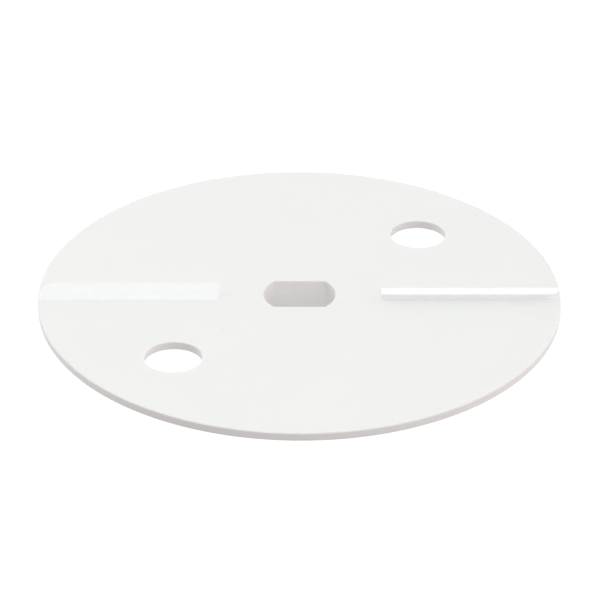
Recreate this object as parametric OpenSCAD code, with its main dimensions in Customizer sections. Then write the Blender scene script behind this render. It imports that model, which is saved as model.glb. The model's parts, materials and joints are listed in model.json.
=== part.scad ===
// Ejector plate of a rotary vegetable cutter: a thin round plate on a keyed hub, with two
// wedge-shaped vanes that sweep cut food outward and two holes to lift the plate off by.
// Frame: +Z up along the drive shaft, +X along the vanes, origin at the centre of the hub's
// lower face, which is the face that rests on the shaft's shoulder.

/* [Plate] */
// Diameter of the plate
plate_d = 185; // [170:1:215]
// Thickness of the plate
plate_t = 3; // [2.6:0.1:4]
// Radius that rounds both edges of the rim
rim_r = 0.5; // [0.3:0.1:1.2]
// Radius that rounds the edges of every hole
edge_r = 0.3; // [0.2:0.1:0.8]

/* [Drive bore] */
// Diameter across the bore's two round sides
bore_d = 25.5; // [20:0.5:28]
// Distance between the bore's two flats
bore_flats = 18; // [14:0.5:19]

/* [Finger holes] */
// Diameter of each finger hole
finger_d = 20; // [16:0.5:24]
// Diameter of the circle that the finger holes' centres lie on
finger_pcd = 123; // [110:1:130]
// Angle from the vanes' line to the finger holes
finger_angle = 45; // [35:1:90]

/* [Vanes] */
// Width of a vane, from its steep face to its toe
vane_w = 8.5; // [7:0.5:10]
// Height of a vane above the plate, to the sharp corner that its crest rounds off
vane_h = 2.2; // [1.5:0.1:4]
// Distance from the shaft's axis to a vane's inner end
vane_inner = 29; // [27:0.5:40]
// Distance that a vane's outer end stops short of the rim
vane_inset = 0.3; // [0.2:0.1:2]
// Radius of the rounded corner where the steep face meets the rim, seen from above
vane_corner_r = 6.5; // [3:0.5:6.5]
// Radius of the vane's crest
crest_r = 0.3; // [0.2:0.1:0.8]
// Width of the tongue under a vane, which sits in a groove in the plate
tongue_w = 3; // [2:0.5:3.5]
// Height of the tongue, which is the groove's depth
tongue_h = 0.8; // [0.4:0.1:1.2]

/* [Hub] */
// Length of the hub below the plate
hub_h = 12; // [9:1:20]
// Diameter of the hub's boss
boss_d = 36; // [34:1:38]
// Diameter of the flange that is bonded to the plate
flange_d = 48; // [46:1:53]
// Thickness of the flange
flange_t = 3; // [2:0.5:4]
// Depth of the recess that locates the flange in the plate
flange_seat = 0.8; // [0.4:0.1:1.2]
// Radius of the fillet between boss and flange
fillet_r = 2; // [0.5:0.5:2.5]
// Chamfer on the hub's outer edges
hub_chamfer = 0.8; // [0.4:0.1:1]

/* [Hidden] */
$fn = 96;
ARC_STEPS = 6;  // straight steps that draw a quarter of an edge's round
OVERCUT = 1;  // how far a cutter runs past the face that it opens
plate_r = plate_d / 2;
plate_z0 = hub_h;
plate_z1 = plate_z0 + plate_t;
vane_r = plate_r - vane_inset;
corner_y = vane_corner_r - vane_w / 2;
corner_x = vane_r - vane_corner_r;
TONGUE_WALL = 1;  // from the vane's steep face to the tongue
TONGUE_MARGIN = 4;  // from the vane's ends to the tongue's
TONGUE_ROOT = 0.2;  // how far the tongue runs up into its vane, so that they are one solid
tongue_y = TONGUE_WALL + tongue_w / 2 - vane_w / 2;
white = [0.95, 0.955, 0.945];

// Points along an arc about [cx, cz], from angle a0 to angle a1.
function arc(cx, cz, r, a0, a1) =
    [for (i = [0 : ARC_STEPS]) let (a = a0 + (a1 - a0) * i / ARC_STEPS) [cx + r * cos(a), cz + r * sin(a)]];

// Half outline of a hole between two faces, from its axis out, flared by edge_r at both mouths.
function flared(half, z0, z1) = concat(
    [[0, z0 - OVERCUT], [half + edge_r, z0 - OVERCUT]],
    arc(half + edge_r, z0 + edge_r, edge_r, 270, 180),
    arc(half + edge_r, z1 - edge_r, edge_r, 180, 90),
    [[half + edge_r, z1 + OVERCUT], [0, z1 + OVERCUT]]
);

module round_hole(d, z0, z1) {
    rotate_extrude() polygon(flared(d / 2, z0, z1));
}

// The slot's flat sides, as a prism along X with the same flare as the round sides.
module flat_sides() {
    for (side = [0, 1])
        mirror([0, side, 0])
            rotate([90, 0, 90])
                linear_extrude(height = 2 * bore_d, center = true)
                    polygon(flared(bore_flats / 2, 0, plate_z1));
}

// Bore with two round sides and two flats, open through hub and plate.
module drive_bore() {
    intersection() {
        round_hole(bore_d, 0, plate_z1);
        flat_sides();
    }
}

module finger_holes() {
    for (turn = [0, 180])
        rotate([0, 0, finger_angle + turn])
            translate([finger_pcd / 2, 0, 0])
                round_hole(finger_d, plate_z0, plate_z1);
}

// A vane's tongue as a block from height z0 to z1, with round ends.
module tongue_block(z0, z1) {
    r = tongue_w / 2;
    x0 = vane_inner + TONGUE_MARGIN + r;
    x1 = vane_r - TONGUE_MARGIN - r;
    translate([x0, tongue_y - r, z0]) cube([x1 - x0, tongue_w, z1 - z0]);
    for (x = [x0, x1])
        translate([x, tongue_y, z0]) cylinder(r = r, h = z1 - z0);
}

// Outline of a vane seen from above, as a block on the plate: a strip whose outer end follows
// the rim, with a rounded corner on the steep side.
module vane_block() {
    intersection() {
        translate([0, 0, plate_z1]) cylinder(r = vane_r, h = vane_h);
        union() {
            translate([vane_inner, -vane_w / 2, plate_z1]) cube([corner_x - vane_inner, vane_w, vane_h]);
            translate([vane_inner, corner_y, plate_z1]) cube([plate_r, vane_w / 2 - corner_y, vane_h]);
            translate([corner_x, corner_y, plate_z1]) cylinder(r = vane_corner_r, h = vane_h);
        }
    }
}

// Section across a vane: a steep face at -Y, a rounded crest, and a slope that runs out flush
// with the plate at +Y.
function vane_section() =
    let (
        slope = atan(vane_h / vane_w),
        crest_z = plate_z1 + vane_h - crest_r * tan(slope) - crest_r / cos(slope)
    )
    concat(
        [[-vane_w / 2, plate_z1], [vane_w / 2, plate_z1]],
        arc(-vane_w / 2 + crest_r, crest_z, crest_r, 90 - slope, 180)
    );

module vane() {
    color(white) {
        intersection() {
            vane_block();
            rotate([90, 0, 90]) linear_extrude(height = plate_d) polygon(vane_section());
        }
        tongue_block(plate_z1 - tongue_h, plate_z1 + TONGUE_ROOT);
    }
}

module ejector_plate() {
    color(white)
        difference() {
            rotate_extrude()
                polygon(concat(
                    [[0, plate_z0]],
                    arc(plate_r - rim_r, plate_z0 + rim_r, rim_r, 270, 360),
                    arc(plate_r - rim_r, plate_z1 - rim_r, rim_r, 0, 90),
                    [[0, plate_z1]]
                ));
            drive_bore();
            finger_holes();
            translate([0, 0, plate_z0 - OVERCUT]) cylinder(d = flange_d, h = flange_seat + OVERCUT);
            for (turn = [0, 180])
                rotate([0, 0, turn]) tongue_block(plate_z1 - tongue_h, plate_z1 + OVERCUT);
        }
}

module drive_hub() {
    boss_r = boss_d / 2;
    flange_r = flange_d / 2;
    top = hub_h + flange_seat;
    step = top - flange_t;
    color(white)
        difference() {
            rotate_extrude()
                polygon(concat(
                    [[0, 0], [boss_r - hub_chamfer, 0], [boss_r, hub_chamfer]],
                    arc(boss_r + fillet_r, step - fillet_r, fillet_r, 180, 90),
                    [[flange_r - hub_chamfer, step], [flange_r, step + hub_chamfer], [flange_r, top], [0, top]]
                ));
            drive_bore();
        }
}

ejector_plate();
drive_hub();
vane();  // vane_right
rotate([0, 0, 180]) vane();  // vane_left
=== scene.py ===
import json
import math

import bmesh
import bpy
import numpy as np
from mathutils import Matrix, Vector, geometry


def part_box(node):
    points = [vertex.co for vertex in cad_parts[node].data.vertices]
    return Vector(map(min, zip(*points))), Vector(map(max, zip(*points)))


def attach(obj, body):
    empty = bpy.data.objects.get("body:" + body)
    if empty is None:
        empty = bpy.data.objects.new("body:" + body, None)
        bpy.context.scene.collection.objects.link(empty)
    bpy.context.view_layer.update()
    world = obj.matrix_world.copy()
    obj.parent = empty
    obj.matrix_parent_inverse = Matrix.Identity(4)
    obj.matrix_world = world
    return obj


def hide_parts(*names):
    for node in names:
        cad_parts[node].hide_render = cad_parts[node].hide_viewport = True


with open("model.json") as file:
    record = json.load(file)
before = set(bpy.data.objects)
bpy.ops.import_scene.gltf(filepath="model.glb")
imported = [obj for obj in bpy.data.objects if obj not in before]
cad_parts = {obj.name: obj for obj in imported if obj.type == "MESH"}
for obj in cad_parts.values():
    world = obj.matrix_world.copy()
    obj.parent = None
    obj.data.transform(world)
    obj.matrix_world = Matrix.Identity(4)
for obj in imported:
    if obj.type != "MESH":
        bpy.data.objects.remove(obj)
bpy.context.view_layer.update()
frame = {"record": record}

MM = 0.001

# ---------------------------------------------------------------- sizes, in millimetres
# The frame gives where each node starts and ends. What it can't give is named here.
EDGE_R = 0.3          # round of every hole's edge
RIM_R = 0.5           # round of the rim's edges
BORE_R = 12.75        # drive bore: its round sides,
BORE_HALF_FLAT = 9.0  # its flats,
BORE_CORNER = 0.25    # and the fillet where they meet
FLANGE_T = 3.0        # thickness of the hub's flange
BOSS_R = 18.0         # radius of its boss
HUB_FILLET = 2.0      # fillet between the two
HUB_ROUND = 0.8       # round of the hub's outer edges
VANE_CORNER = 6.5     # rounded corner at a vane's outer end
VANE_PLAN_R = 0.5     # its small corners, seen from above
VANE_H = 2.2          # its height above the plate, up to the sharp corner that the crest rounds off
CREST_R = 0.3         # round of a vane's upper edges
CREST_SHARE = 0.45    # where the vane is low, that round is this part of its height instead
TONGUE_W = 3.0        # tongue under a vane, in the plate's groove
TONGUE_WALL = 1.0     # from the vane's steep face to the tongue
TONGUE_MARGIN = 4.0   # from the tongue's ends to the vane's
SEAM = 0.03           # gap all round a piece that sits in a recess
SUPPORT = 0.12        # width of the flat strip that keeps a round's shading off the flat

# Fineness of the meshes, also in millimetres: longest step along each outline,
RIM_STEP = 1.2
SEAT_STEP = 1.0
FLANGE_STEP = 0.8
TONGUE_STEP = 0.8
FINGER_HOLE_STEP = 0.6
VANE_STEP = 0.5
BORE_STEP = 0.35
# and distance between the points that fill each flat face.
GROOVE_FILL = 3.0
PLATE_FILL = 2.5
HIDDEN_FILL = 2.0
VANE_FILL = 1.2
HUB_FILL = 1.0
FILL_CLEARANCE = 0.55  # least distance from those points to the face's edge, in spacings
LEAST_ARC_STEPS = 4    # steps that even the smallest arc gets
ROUND_STEPS = 8        # steps across a rounded edge
CREST_STEPS = 7        # and across a vane's crest
BOSS_STEPS = 4         # steps up the boss's wall
# Loops on an upright wall, as parts of the way along it.
HOLE_WALL = (0.04, 0.35, 0.65, 0.96)
RIM_WALL = (0.08, 0.5, 0.92)
VANE_WALL = (0.05, 0.5, 0.95)
SAME_POINT = 1e-4      # points closer than this are one
MERGE = 2e-4           # vertices closer than this are merged
TINY = 1e-6            # keeps a division from failing, and is the triangulation's tolerance
SHARP_ANGLE = 32       # edges sharper than this, in degrees, stay sharp


def box_mm(node):
    low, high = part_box(node)
    return low / MM, high / MM


plate_low, plate_high = box_mm("ejector_plate")
hub_low, hub_high = box_mm("drive_hub")
vane_low, vane_high = box_mm("vane_right")
PLATE_R = min(plate_high.x, plate_high.y, -plate_low.x, -plate_low.y)
BOTTOM = plate_low.z
TOP = plate_high.z
HUB_TOP = hub_high.z
FLANGE_R = hub_high.x - SEAM
GROOVE_Z = vane_low.z
VANE_HALF_W = vane_high.y
VANE_R = vane_high.x
VANE_INNER = vane_low.x
TONGUE_Y = TONGUE_WALL + TONGUE_W / 2 - VANE_HALF_W
SLOPE = math.atan(VANE_H / (2 * VANE_HALF_W))


# ---------------------------------------------------------------- mesh tools
def outline(arcs, step):
    """Closed outline of arcs (centre x, centre y, radius, start, end in degrees) joined by straight
    lines, as a list of (point, outward normal), no two points further apart than step."""
    found = []

    def add(point, normal):
        if not found or (found[-1][0] - point).length > SAME_POINT:
            found.append((point, normal))

    for number, (cx, cy, radius, start, end) in enumerate(arcs):
        pieces = max(LEAST_ARC_STEPS, math.ceil(math.radians(abs(end - start)) * radius / step))
        for i in range(pieces + 1):
            angle = math.radians(start + (end - start) * i / pieces)
            normal = Vector((math.cos(angle), math.sin(angle)))
            add(Vector((cx, cy)) + radius * normal, normal)
        nx, ny, next_r, next_start, _ = arcs[(number + 1) % len(arcs)]
        angle = math.radians(next_start)
        goal = Vector((nx + next_r * math.cos(angle), ny + next_r * math.sin(angle)))
        here, normal = found[-1]
        gap = (goal - here).length
        pieces = math.ceil(gap / step)
        for i in range(1, pieces):
            add(here.lerp(goal, i / pieces), normal)
    if (found[-1][0] - found[0][0]).length < SAME_POINT:
        found.pop()
    return found


def circle(radius, step, centre=(0.0, 0.0)):
    return outline([(centre[0], centre[1], radius, 0, 360)], step)


def double_d(step):
    """The drive bore's outline: two round sides, two flats and the fillets between them."""
    reach = BORE_R - BORE_CORNER
    cy = BORE_HALF_FLAT - BORE_CORNER
    cx = math.sqrt(reach ** 2 - cy ** 2)
    turn = math.degrees(math.atan2(cy, cx))
    return outline([
        (0, 0, BORE_R, -turn, turn),
        (cx, cy, BORE_CORNER, turn, 90),
        (-cx, cy, BORE_CORNER, 90, 180 - turn),
        (0, 0, BORE_R, 180 - turn, 180 + turn),
        (-cx, -cy, BORE_CORNER, 180 + turn, 270),
        (cx, -cy, BORE_CORNER, 270, 360 - turn),
    ], step)


def vane_outline(step):
    """A vane seen from above, along +X: steep side at -Y, toe at +Y, outer end along the rim."""
    big_y = VANE_CORNER - VANE_HALF_W
    big_x = math.sqrt((VANE_R - VANE_CORNER) ** 2 - big_y ** 2)
    small_y = VANE_HALF_W - VANE_PLAN_R
    small_x = math.sqrt((VANE_R - VANE_PLAN_R) ** 2 - small_y ** 2)
    big_turn = math.degrees(math.atan2(big_y, big_x))
    small_turn = math.degrees(math.atan2(small_y, small_x))
    inner_x = VANE_INNER + VANE_PLAN_R
    return outline([
        (inner_x, -small_y, VANE_PLAN_R, 180, 270),
        (big_x, big_y, VANE_CORNER, 270, 360 + big_turn),
        (0, 0, VANE_R, big_turn, small_turn),
        (small_x, small_y, VANE_PLAN_R, small_turn, 90),
        (inner_x, small_y, VANE_PLAN_R, 90, 180),
    ], step)


def tongue_outline(step):
    """The tongue under the +X vane, seen from above."""
    half = TONGUE_W / 2
    near = VANE_INNER + TONGUE_MARGIN + half
    far = VANE_R - TONGUE_MARGIN - half
    return outline([(far, TONGUE_Y, half, 270, 450), (near, TONGUE_Y, half, 90, 270)], step)


def ring(bm, line, offset, z):
    """The outline moved outward by offset, as a loop of new vertices at height z."""
    return [bm.verts.new((*(p + offset * n), z)) for p, n in line]


def skin(bm, rows):
    """Quads between each loop and the next."""
    for upper, lower in zip(rows, rows[1:]):
        count = len(upper)
        for i in range(count):
            j = (i + 1) % count
            bm.faces.new((upper[i], upper[j], lower[j], lower[i]))


def inside(points, loops):
    """Which points lie in the area between the loops, by counting crossings."""
    odd = np.zeros(len(points), bool)
    for loop in loops:
        a = np.array([v.co.xy for v in loop])
        b = np.roll(a, -1, axis=0)
        x, y = points[:, :1], points[:, 1:]
        crosses = (a[:, 1] > y) != (b[:, 1] > y)
        rise = np.where(b[:, 1] == a[:, 1], TINY, b[:, 1] - a[:, 1])
        left = x < (b[:, 0] - a[:, 0]) * (y - a[:, 1]) / rise + a[:, 0]
        odd ^= (crosses & left).sum(axis=1) % 2 == 1
    return odd


def flat_at(z):
    """The height of a flat cap, as a function of x and y."""
    return lambda x, y: z


def cap(bm, loops, spacing, height):
    """Fills the area between loops with even triangles. height gives z at a point."""
    edge = np.array([v.co.xy for loop in loops for v in loop])
    low, high = edge.min(axis=0), edge.max(axis=0)
    rows = np.arange(low[1], high[1], spacing * math.sqrt(3) / 2)
    grid = np.array([
        (x + (row % 2) * spacing / 2, y)
        for row, y in enumerate(rows)
        for x in np.arange(low[0], high[0], spacing)
    ]).reshape(-1, 2)
    grid = grid[inside(grid, loops)]
    clear = [np.hypot(*(edge - point).T).min() > FILL_CLEARANCE * spacing for point in grid]
    grid = grid[np.array(clear, bool)]
    verts = [v for loop in loops for v in loop]
    links = []
    for loop in loops:
        first = len(links)
        links += [(first + i, first + (i + 1) % len(loop)) for i in range(len(loop))]
    verts += [bm.verts.new((x, y, height(x, y))) for x, y in grid]
    flat = [v.co.xy for v in verts]
    points, _, faces, origin, _, _ = geometry.delaunay_2d_cdt(flat, links, [], 0, TINY)
    made = [[verts[origin[i][0]] for i in face] for face in faces]
    middles = np.array([sum((v.co.xy for v in face), Vector((0, 0))) / 3 for face in made])
    for face, keep in zip(made, inside(middles, loops)):
        if keep:
            bm.faces.new(face)


def quarter():
    """Angles from 0 to 90 degrees, in radians."""
    return [math.pi / 2 * i / ROUND_STEPS for i in range(ROUND_STEPS + 1)]


def hole_rows(bm, line, low, high, low_edge=True, high_edge=True):
    """Loops down a hole's wall from the face at high to the face at low, with rounded mouths."""
    rows = []
    if high_edge:
        rows.append(ring(bm, line, EDGE_R + SUPPORT, high))
        for a in quarter():
            rows.append(ring(bm, line, EDGE_R * (1 - math.sin(a)), high - EDGE_R * (1 - math.cos(a))))
    else:
        rows.append(ring(bm, line, 0, high))
    inner_high = high - EDGE_R if high_edge else high
    inner_low = low + EDGE_R if low_edge else low
    for part in HOLE_WALL:
        rows.append(ring(bm, line, 0, inner_high + (inner_low - inner_high) * part))
    if low_edge:
        for a in quarter():
            rows.append(ring(bm, line, EDGE_R * (1 - math.cos(a)), low + EDGE_R * (1 - math.sin(a))))
        rows.append(ring(bm, line, EDGE_R + SUPPORT, low))
    else:
        rows.append(ring(bm, line, 0, low))
    skin(bm, rows)
    return rows


def arc(cx, cz, radius, start, end):
    """Points (radius from the axis, z) along an arc of a turned profile."""
    turn = math.radians(end - start) / ROUND_STEPS
    angles = [math.radians(start) + turn * i for i in range(ROUND_STEPS + 1)]
    return [(cx + radius * math.cos(a), cz + radius * math.sin(a)) for a in angles]


def finish_mesh(bm, name, material, node, turn=0.0):
    """Turns the mesh built in millimetres into a piece in metres that stands for a CAD node."""
    bmesh.ops.remove_doubles(bm, verts=bm.verts, dist=MERGE)
    bmesh.ops.dissolve_degenerate(bm, edges=bm.edges, dist=SAME_POINT)
    bmesh.ops.recalc_face_normals(bm, faces=bm.faces)
    bm.transform(Matrix.Rotation(turn, 4, "Z") @ Matrix.Scale(MM, 4))
    mesh = bpy.data.meshes.new(name)
    bm.to_mesh(mesh)
    bm.free()
    mesh.shade_smooth()
    mesh.set_sharp_from_angle(angle=math.radians(SHARP_ANGLE))
    mesh.materials.append(material)
    piece = bpy.data.objects.new(name, mesh)
    bpy.context.scene.collection.objects.link(piece)
    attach(piece, "root")
    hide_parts(node)
    return piece


# ---------------------------------------------------------------- pieces
def finger_holes():
    """Outlines of the finger holes, from the record's mounts."""
    found = []
    for mount in frame["record"]["mounts"]:
        if mount["name"].startswith("finger_hole"):
            x, y, _ = mount["pos_m"]
            found.append(circle(mount["dims"]["r_mm"], FINGER_HOLE_STEP, (x / MM, y / MM)))
    return found


def rim_rows(bm):
    """Loops over the rim, from the plate's top face to its lower one."""
    rim = circle(PLATE_R, RIM_STEP)
    rows = [ring(bm, rim, -RIM_R - SUPPORT, TOP)]
    rows += [ring(bm, rim, RIM_R * (math.sin(a) - 1), TOP + RIM_R * (math.cos(a) - 1)) for a in quarter()]
    middle = TOP - BOTTOM - 2 * RIM_R
    rows += [ring(bm, rim, 0, TOP - RIM_R - middle * part) for part in RIM_WALL]
    rows += [ring(bm, rim, RIM_R * (math.cos(a) - 1), BOTTOM + RIM_R * (1 - math.sin(a))) for a in quarter()]
    rows.append(ring(bm, rim, -RIM_R - SUPPORT, BOTTOM))
    skin(bm, rows)
    return rows


def groove(bm, side):
    """The groove for one vane's tongue. Gives its mouth."""
    line = [(side * p, side * n) for p, n in tongue_outline(TONGUE_STEP)]
    rows = [ring(bm, line, SEAM, TOP), ring(bm, line, SEAM, GROOVE_Z)]
    skin(bm, rows)
    cap(bm, [rows[1]], GROOVE_FILL, flat_at(GROOVE_Z))
    return rows[0]


def make_plate(material):
    bm = bmesh.new()
    rows = rim_rows(bm)
    holes = [hole_rows(bm, line, BOTTOM, TOP) for line in finger_holes()]
    bore = hole_rows(bm, double_d(BORE_STEP), HUB_TOP, TOP, low_edge=False)
    grooves = [groove(bm, side) for side in (1, -1)]
    seat = circle(FLANGE_R + SEAM, SEAT_STEP)
    recess = [ring(bm, seat, 0, BOTTOM), ring(bm, seat, 0, HUB_TOP)]
    skin(bm, recess)
    cap(bm, [recess[1], bore[-1]], HIDDEN_FILL, flat_at(HUB_TOP))
    cap(bm, [rows[0], bore[0], *grooves, *(hole[0] for hole in holes)], PLATE_FILL, flat_at(TOP))
    cap(bm, [rows[-1], recess[0], *(hole[-1] for hole in holes)], PLATE_FILL, flat_at(BOTTOM))
    return finish_mesh(bm, "plate_moulding", material, "ejector_plate")


def hub_profile():
    """The turned outside of the hub, from its lower face to its top, as (radius, z)."""
    step_z = HUB_TOP - FLANGE_T
    profile = [(BOSS_R - HUB_ROUND - SUPPORT, 0)]
    profile += arc(BOSS_R - HUB_ROUND, HUB_ROUND, HUB_ROUND, 270, 360)
    wall_low, wall_high = HUB_ROUND + SUPPORT, step_z - HUB_FILLET - SUPPORT
    wall = wall_high - wall_low
    profile += [(BOSS_R, wall_low + wall * i / BOSS_STEPS) for i in range(BOSS_STEPS + 1)]
    profile += arc(BOSS_R + HUB_FILLET, step_z - HUB_FILLET, HUB_FILLET, 180, 90)
    profile += [(BOSS_R + HUB_FILLET + SUPPORT, step_z), (FLANGE_R - HUB_ROUND - SUPPORT, step_z)]
    profile += arc(FLANGE_R - HUB_ROUND, step_z + HUB_ROUND, HUB_ROUND, 270, 360)
    profile += [(FLANGE_R, step_z + HUB_ROUND + SUPPORT), (FLANGE_R, BOTTOM), (FLANGE_R, HUB_TOP)]
    return profile


def make_hub(material):
    bm = bmesh.new()
    flange = circle(FLANGE_R, FLANGE_STEP)
    rows = [ring(bm, flange, radius - FLANGE_R, z) for radius, z in hub_profile()]
    skin(bm, rows)
    bore = hole_rows(bm, double_d(BORE_STEP), 0, HUB_TOP, high_edge=False)
    cap(bm, [rows[0], bore[-1]], HUB_FILL, flat_at(0))
    cap(bm, [rows[-1], bore[0]], HIDDEN_FILL, flat_at(HUB_TOP))
    return finish_mesh(bm, "hub_moulding", material, "drive_hub")


def slope_z(x, y):
    """Height of a vane's slope."""
    return TOP + (VANE_HALF_W - y) * math.tan(SLOPE)


def vane_rows(bm):
    """Loops up a vane's sides and over its crest, from the plate's top to the edge of the slope."""
    line = vane_outline(VANE_STEP)
    up = Vector((0, math.sin(SLOPE), math.cos(SLOPE)))
    base = ring(bm, line, 0, TOP)
    wall = [[] for _ in VANE_WALL]
    rounds = [[] for _ in range(CREST_STEPS + 1)]
    inner = []
    for p, n in line:
        radius = min(CREST_R, CREST_SHARE * (slope_z(*p) - TOP))
        centre = p - radius * n
        centre = Vector((*centre, slope_z(*centre) - radius / math.cos(SLOPE)))
        for row, part in zip(wall, VANE_WALL):
            row.append(bm.verts.new((*p, TOP + (centre.z - TOP) * part)))
        side = Vector((*n, 0))
        for i, row in enumerate(rounds):
            row.append(bm.verts.new(centre + radius * side.slerp(up, i / CREST_STEPS)))
        flat = rounds[-1][-1].co.xy - SUPPORT * n
        inner.append(bm.verts.new((*flat, slope_z(*flat))))
    rows = [base, *wall, *rounds, inner]
    skin(bm, rows)
    return rows


def make_vane(material, name, node, turn):
    bm = bmesh.new()
    tongue = [ring(bm, tongue_outline(TONGUE_STEP), 0, z) for z in (TOP, GROOVE_Z)]
    rows = vane_rows(bm)
    skin(bm, tongue)
    cap(bm, [rows[-1]], VANE_FILL, slope_z)
    cap(bm, [rows[0], tongue[0]], HIDDEN_FILL, flat_at(TOP))
    cap(bm, [tongue[1]], HIDDEN_FILL, flat_at(GROOVE_Z))
    return finish_mesh(bm, name, material, node, turn)


# ---------------------------------------------------------------- materials
class Nodes:
    """Short calls for building a node tree."""

    def __init__(self, tree):
        self.tree = tree
        tree.nodes.clear()

    def add(self, kind, out=0, inputs=None, **settings):
        node = self.tree.nodes.new(kind)
        for name, value in settings.items():
            setattr(node, name, value)
        for name, value in (inputs or {}).items():
            if isinstance(value, bpy.types.NodeSocket):
                self.tree.links.new(value, node.inputs[name])
            else:
                node.inputs[name].default_value = value
        return node.outputs[out]

    def math(self, operation, a, b=0.0, c=0.0):
        return self.add("ShaderNodeMath", operation=operation, inputs={0: a, 1: b, 2: c})

    def noise(self, place, scale, detail=2.0, roughness=0.5):
        inputs = {"Vector": place, "Scale": scale, "Detail": detail, "Roughness": roughness}
        return self.add("ShaderNodeTexNoise", inputs=inputs)

    def ramp(self, value, low, high, to_low=0.0, to_high=1.0):
        inputs = {"Value": value, "From Min": low, "From Max": high, "To Min": to_low, "To Max": to_high}
        return self.add("ShaderNodeMapRange", interpolation_type="SMOOTHSTEP", inputs=inputs)

    def stretched(self, place, turn, scale):
        inputs = {"Vector": place, "Rotation": (0, 0, math.radians(turn)), "Scale": scale}
        return self.add("ShaderNodeMapping", inputs=inputs)


# Noise scales, in features per metre.
CLOUD = 45       # clouding over the whole piece
PATCH = 350      # mottling a few millimetres across
GRAIN = 900      # grain that the mould leaves
SPECK = 700      # the odd dark speck
STREAK = (14, 1500, 20)   # a fine scratch: long in x, thin in y
STREAK_AREA = (9, 70, 20)  # where scratches gather
TURNING = (30, 30, 1400)  # rings that a lathe leaves round the z axis
# Noise above the first level begins to show as a speck or a scratch, and above the second it is one.
SPECK_LEVELS = (0.91, 0.93)
STREAK_LEVELS = (0.70, 0.78)
AREA_LEVELS = (0.5, 0.7)
# How much lighter or darker each makes the colour,
CLOUD_SHADE = 0.03
SPECK_SHADE = -0.15
# how much rougher the surface,
CLOUD_ROUGH = 0.10
GRAIN_ROUGH = 0.06
SCRATCH_ROUGH = 0.15
# and how high it stands, in hundredths of a millimetre.
SCRATCH_HEIGHT = -0.5
HEIGHT_UNIT = 1e-5


def tinted(made, place, cloud, colour, mottle):
    """The colour with clouding, mottling and the odd speck."""
    patch = made.noise(place, PATCH)
    speck = made.ramp(made.noise(place, SPECK, 0), *SPECK_LEVELS)
    shade = made.math("MULTIPLY_ADD", cloud, CLOUD_SHADE, 1 - CLOUD_SHADE / 2 - mottle / 2)
    shade = made.math("MULTIPLY_ADD", patch, mottle, shade)
    shade = made.math("MULTIPLY_ADD", speck, SPECK_SHADE, shade)
    return made.add("ShaderNodeVectorMath", operation="SCALE", inputs={0: colour, "Scale": shade})


def scratched(made, place, turns):
    """Where the fine scratches are, in each of the given directions."""
    lines = 0.0
    for turn in turns:
        streak = made.noise(made.stretched(place, turn, STREAK), 1, 1)
        area = made.noise(made.stretched(place, turn, STREAK_AREA), 1, 1)
        line = made.math("MULTIPLY", made.ramp(streak, *STREAK_LEVELS), made.ramp(area, *AREA_LEVELS))
        lines = made.math("MAXIMUM", line, lines)
    return lines


def plastic(name, colour, roughness, grain, mottle, scratches=(), rings=0.0):
    """White plastic: faint clouding, mottling, grain, the odd speck, fine scratches, turning rings."""
    material = bpy.data.materials.new(name)
    material.use_nodes = True
    made = Nodes(material.node_tree)
    place = made.add("ShaderNodeTexCoord", out="Object")
    cloud = made.noise(place, CLOUD, 3)
    fine = made.noise(place, GRAIN)
    lines = scratched(made, place, scratches)

    rough = made.math("MULTIPLY_ADD", cloud, CLOUD_ROUGH, roughness - CLOUD_ROUGH / 2)
    rough = made.math("MULTIPLY_ADD", fine, GRAIN_ROUGH, rough)
    rough = made.math("MULTIPLY_ADD", lines, SCRATCH_ROUGH, rough)
    height = made.math("MULTIPLY", fine, grain)
    height = made.math("MULTIPLY_ADD", lines, SCRATCH_HEIGHT, height)
    ring_noise = made.noise(made.stretched(place, 0, TURNING), 1, 1)
    height = made.math("MULTIPLY_ADD", ring_noise, rings, height)
    bump = made.add("ShaderNodeBump", inputs={"Strength": 1.0, "Distance": HEIGHT_UNIT, "Height": height})

    surface = made.add("ShaderNodeBsdfPrincipled", inputs={
        "Base Color": tinted(made, place, cloud, colour, mottle), "Roughness": rough,
        "IOR": 1.5, "Normal": bump})
    output = made.tree.nodes.new("ShaderNodeOutputMaterial")
    made.tree.links.new(surface, output.inputs["Surface"])
    return material


# ---------------------------------------------------------------- stage, in metres
FLOOR_HALF = 4.0      # half the floor's width
FLOOR_GAP = 0.0002    # from the floor up to the hub
WHITE_GLOW = 1.08     # just over 1, so that the ground is pure white
# Strength of the soft light from each side of the studio: front, right, back and left.
LIGHT_BELOW = (0.15, 0.6, 0.6, 0.6)
LIGHT_LOW = (0.5, 1.7, 1.2, 0.4)
LIGHT_HIGH = 0.62
# Heights of direction, from -1 to 1, between which one band of light blends into the next.
BELOW_TO_LOW = (-0.12, 0.02)
LOW_TO_HIGH = (0.35, 0.65)
LIGHT_FRONT_BOX = 2.5
LIGHT_BACK_BOX = 1.0
LIGHT_LEFT_BOX = 3.2
BOX_DISTANCE = 1.2
BOX_SIZE = 0.6
# Colours of the light: a little warm from the sides and the softboxes, a little cool from above.
TINT_SIDE = (1.08, 0.97, 0.95)
TINT_HIGH = (0.92, 1.06, 1.03)
TINT_BOX = (1.07, 0.98, 0.97)


def glowing_sheet(name, points, faces):
    """White surface that glows evenly, so that it shows no shadow, and that lets the light through."""
    mesh = bpy.data.meshes.new(name)
    mesh.from_pydata(points, [], faces)
    sheet = bpy.data.objects.new(name, mesh)
    bpy.context.scene.collection.objects.link(sheet)
    material = bpy.data.materials.new(name + "_white")
    material.use_nodes = True
    made = Nodes(material.node_tree)
    glow = made.add("ShaderNodeEmission", inputs={"Color": (1, 1, 1, 1), "Strength": WHITE_GLOW})
    output = made.tree.nodes.new("ShaderNodeOutputMaterial")
    made.tree.links.new(glow, output.inputs["Surface"])
    mesh.materials.append(material)
    sheet.visible_diffuse = False
    sheet.visible_shadow = False
    return sheet


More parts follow.
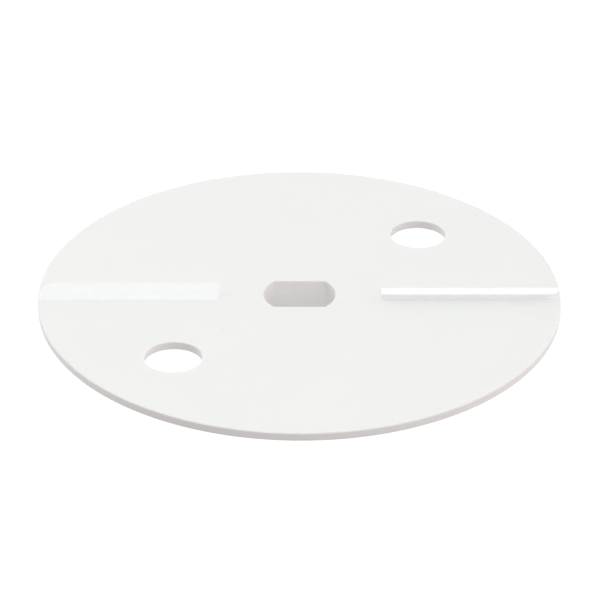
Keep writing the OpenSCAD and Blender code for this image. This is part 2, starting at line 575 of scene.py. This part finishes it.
def make_floor():
    """White floor just below the hub, and a white wall round it that only the camera sees."""
    corners = [(FLOOR_HALF * x, FLOOR_HALF * y) for x, y in ((-1, -1), (1, -1), (1, 1), (-1, 1))]
    low = [(x, y, -FLOOR_GAP) for x, y in corners]
    high = [(x, y, FLOOR_HALF) for x, y in corners]
    glowing_sheet("floor", low, [(0, 1, 2, 3)])
    walls = [(i, (i + 1) % 4, (i + 1) % 4 + 4, i + 4) for i in range(4)]
    backdrop = glowing_sheet("backdrop", low + high, walls)
    backdrop.visible_glossy = False


def around(made, x, y, sides):
    """Light by compass direction, blended from the strengths at front, right, back and left."""
    front, right, back, left = sides
    along_x = made.math("MULTIPLY_ADD", made.math("GREATER_THAN", x), right - left, left)
    along_y = made.math("MULTIPLY_ADD", made.math("GREATER_THAN", y), back - front, front)
    xx = made.math("MULTIPLY", x, x)
    yy = made.math("MULTIPLY", y, y)
    weighted = made.math("ADD", made.math("MULTIPLY", xx, along_x), made.math("MULTIPLY", yy, along_y))
    return made.math("DIVIDE", weighted, made.math("ADD", xx, made.math("ADD", yy, TINY)))


def make_world():
    """Soft light from all round, in three bands: below the horizon, low over it, and high."""
    world = bpy.data.worlds.new("studio")
    world.use_nodes = True
    bpy.context.scene.world = world
    made = Nodes(world.node_tree)
    direction = made.add("ShaderNodeTexCoord", out="Generated")
    parts = made.tree.nodes.new("ShaderNodeSeparateXYZ")
    made.tree.links.new(direction, parts.inputs[0])
    x, y, z = parts.outputs
    below = made.ramp(z, *BELOW_TO_LOW, 1, 0)
    high = made.ramp(z, *LOW_TO_HIGH)
    low = made.math("SUBTRACT", made.math("SUBTRACT", 1.0, below), high)
    bands = (
        (TINT_SIDE, made.math("MULTIPLY", below, around(made, x, y, LIGHT_BELOW))),
        (TINT_SIDE, made.math("MULTIPLY", low, around(made, x, y, LIGHT_LOW))),
        (TINT_HIGH, made.math("MULTIPLY", high, LIGHT_HIGH)),
    )
    total = (0, 0, 0)
    for tint, strength in bands:
        band = made.add("ShaderNodeVectorMath", operation="SCALE", inputs={0: tint, "Scale": strength})
        total = made.add("ShaderNodeVectorMath", operation="ADD", inputs={0: band, 1: total})
    light = made.add("ShaderNodeBackground", inputs={"Color": total, "Strength": 1.0})
    output = made.tree.nodes.new("ShaderNodeOutputWorld")
    made.tree.links.new(light, output.inputs["Surface"])


def toward(azimuth, elevation):
    """Direction from the origin at an azimuth and elevation in degrees. Azimuth 0 is in front, at -Y."""
    a, e = math.radians(azimuth), math.radians(elevation)
    return Vector((math.sin(a) * math.cos(e), -math.cos(a) * math.cos(e), math.sin(e)))


def make_softbox(name, azimuth, elevation, radiance):
    """Square soft light that faces the plate."""
    light = bpy.data.lights.new(name, "AREA")
    light.shape = "SQUARE"
    light.size = BOX_SIZE
    light.energy = radiance * math.pi * BOX_SIZE ** 2
    light.color = TINT_BOX
    lamp = bpy.data.objects.new(name, light)
    bpy.context.scene.collection.objects.link(lamp)
    back = toward(azimuth, elevation)
    lamp.location = back * BOX_DISTANCE
    lamp.rotation_euler = back.to_track_quat("Z", "Y").to_euler()


def make_camera():
    """A long lens, 30 degrees above the plate, looking along +Y."""
    azimuth = -0.37
    elevation = 30.07
    roll = math.radians(0.19)
    distance = 1.17
    aim = Vector((0.16, -4.46, TOP)) * MM
    back = toward(azimuth, elevation)
    data = bpy.data.cameras.new("camera")
    data.sensor_width = 36
    data.lens = 198.8
    data.clip_start = 0.05
    data.clip_end = 50
    camera = bpy.data.objects.new("camera", data)
    bpy.context.scene.collection.objects.link(camera)
    camera.location = aim + back * distance
    camera.rotation_mode = "QUATERNION"
    camera.rotation_quaternion = back.to_track_quat("Z", "Y") @ Matrix.Rotation(roll, 3, "Z").to_quaternion()
    bpy.context.scene.camera = camera


make_camera()
make_world()
make_floor()
make_softbox("front_box", 0, 60, LIGHT_FRONT_BOX)
make_softbox("back_box", 180, 64, LIGHT_BACK_BOX)
make_softbox("left_box", 243, 15, LIGHT_LEFT_BOX)

plate_plastic = plastic(
    "plate_plastic", (0.88, 0.88, 0.88), roughness=0.40, grain=0.4, mottle=0.015, scratches=(12, 75, -40))
hub_plastic = plastic(
    "hub_plastic", (0.90, 0.895, 0.895), roughness=0.36, grain=0.2, mottle=0.03, rings=8.0)
vane_plastic = plastic(
    "vane_plastic", (0.95, 0.95, 0.97), roughness=0.20, grain=0.4, mottle=0.06, scratches=(4,))
make_plate(plate_plastic)
make_hub(hub_plastic)
make_vane(vane_plastic, "vane_right_moulding", "vane_right", 0.0)
make_vane(vane_plastic, "vane_left_moulding", "vane_left", math.pi)

bpy.context.scene.view_settings.view_transform = "Standard"
